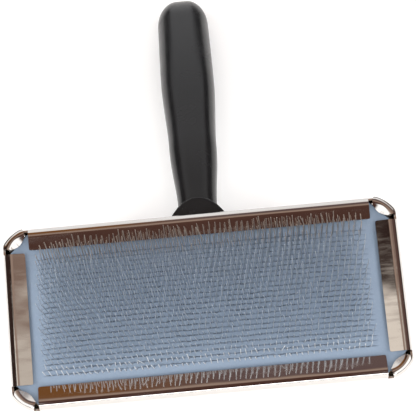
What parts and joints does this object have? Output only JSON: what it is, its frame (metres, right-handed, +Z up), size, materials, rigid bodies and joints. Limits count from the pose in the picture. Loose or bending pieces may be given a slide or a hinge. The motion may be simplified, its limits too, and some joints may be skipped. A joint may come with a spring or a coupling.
{
  "type": "slicker brush",
  "caption": "Pet grooming slicker brush: a rectangular steel tray head with a crowned rubber pad of fine bent wires, on an angled black plastic handle.",
  "frame": {"origin": "middle of the brush's footprint, on the surface that it lies on: bottom centre of the bounding box", "axes": "+X along the head, +Y from the head towards the end of the handle, +Z up. The brush lies pins up on the far edge of the head and the end of the handle, so the head is tilted 27.01 degrees about X and the wires point up and towards -Y"},
  "size_m": [0.1142, 0.164, 0.0385],
  "materials": {
    "polished_steel": "bright plated pressed sheet",
    "wire_steel": "drawn wire, bright",
    "blue_grey_rubber": "matt, pierced by the wires",
    "woven_cotton": "plain weave",
    "cushion_foam": "soft felted cushion",
    "fibreboard": "pressed fibre board",
    "black_plastic": "satin moulded plastic",
    "rivet_steel": "plain steel"
  },
  "bodies": {
    "root": {"head_shell": "polished_steel", "backing_board": "fibreboard", "cushion_foam": "cushion_foam", "foundation_fabric": "woven_cotton", "rubber_face": "blue_grey_rubber", "handle": "black_plastic", "pin_row_01": "wire_steel", "pin_row_02": "wire_steel", "pin_row_03": "wire_steel", "pin_row_04": "wire_steel", "pin_row_05": "wire_steel", "pin_row_06": "wire_steel", "pin_row_07": "wire_steel", "pin_row_08": "wire_steel", "pin_row_09": "wire_steel", "pin_row_10": "wire_steel", "pin_row_11": "wire_steel", "pin_row_12": "wire_steel", "pin_row_13": "wire_steel", "pin_row_14": "wire_steel", "pin_row_15": "wire_steel", "pin_row_16": "wire_steel", "pin_row_17": "wire_steel", "pin_row_18": "wire_steel", "pin_row_19": "wire_steel", "pin_row_20": "wire_steel", "pin_row_21": "wire_steel", "pin_row_22": "wire_steel", "pin_row_23": "wire_steel", "pin_row_24": "wire_steel", "saddle_rivet_1": "rivet_steel", "saddle_rivet_2": "rivet_steel", "saddle_rivet_3": "rivet_steel", "rivet_washer_1": "rivet_steel", "rivet_washer_2": "rivet_steel", "rivet_washer_3": "rivet_steel"}
  },
  "joints": []
}
